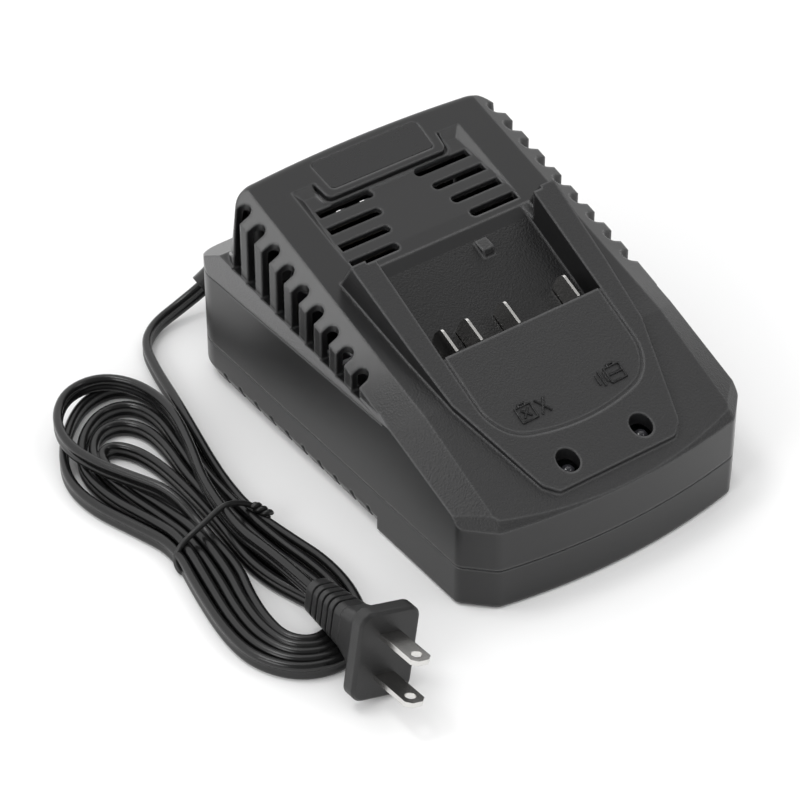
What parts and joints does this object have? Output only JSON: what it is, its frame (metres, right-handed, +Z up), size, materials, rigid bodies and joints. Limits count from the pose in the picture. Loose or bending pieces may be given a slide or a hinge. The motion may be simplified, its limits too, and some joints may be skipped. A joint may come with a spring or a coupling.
{
  "type": "slide-on battery charger",
  "caption": "Tabletop mains charger with a sloping battery shoe, upright contact blades, side cooling vents, status lamps and a tied flat mains cord with a two-pin plug",
  "frame": {"origin": "bottom centre of the housing on its four feet", "axes": "X across the housing, -Y the low front end with the lamps, +Y the tall back end with the cord, Z up"},
  "size_m": [0.1613, 0.1906, 0.0715],
  "materials": {
    "housing_black": "charcoal moulded plastic, satin with a fine spark grain on the front top",
    "plate_black": "smooth dark inlay, bare",
    "feet_rubber": "soft black rubber",
    "screw_steel": "zinc-plated steel",
    "carrier_plastic": "glass-filled black plastic",
    "contact_nickel": "nickel-plated spring brass",
    "led_clear": "clear epoxy dome",
    "holder_plastic": "natural nylon",
    "board_green": "solder-masked fibre board",
    "ferrite": "dull ferrite",
    "winding_tape": "yellow tape over the windings",
    "can_sleeve": "shrunk sleeve",
    "sink_aluminium": "plain extruded aluminium",
    "device_black": "moulded epoxy",
    "fuse_glass": "clear glass tube",
    "film_yellow": "potted box",
    "lead_rubber": "thin wire insulation",
    "cord_black": "flat two-core lead, satin",
    "tie_black": "coated twist wire",
    "plug_black": "moulded soft vinyl"
  },
  "bodies": {
    "root": {"upper_housing": "housing_black", "lower_housing": "housing_black", "nameplate": "plate_black", "rubber_feet": "feet_rubber", "housing_screws": "screw_steel", "contact_carrier": "carrier_plastic", "contact_negative": "contact_nickel", "contact_temperature": "contact_nickel", "contact_coding": "contact_nickel", "contact_positive": "contact_nickel", "carrier_screws": "screw_steel", "status_leds": "led_clear", "led_holders": "holder_plastic", "circuit_board": "board_green", "board_screws": "screw_steel", "transformer_core": "ferrite", "transformer_winding": "winding_tape", "mains_capacitor": "can_sleeve", "output_capacitors": "can_sleeve", "primary_heat_sink": "sink_aluminium", "output_heat_sink": "sink_aluminium", "power_transistor": "device_black", "rectifier_diode": "device_black", "mains_fuse": "fuse_glass", "line_choke": "ferrite", "line_filter_capacitor": "film_yellow", "bridge_rectifier": "device_black", "controller_chip": "device_black", "contact_leads": "lead_rubber", "mains_leads": "lead_rubber", "strain_relief": "cord_black", "cord_clamp": "carrier_plastic", "clamp_screws": "screw_steel", "cord_lead": "cord_black", "cord_hank": "cord_black", "cord_tail": "cord_black", "cord_tie": "tie_black", "plug_body": "plug_black", "plug_relief": "plug_black", "plug_blades": "contact_nickel"}
  },
  "joints": []
}
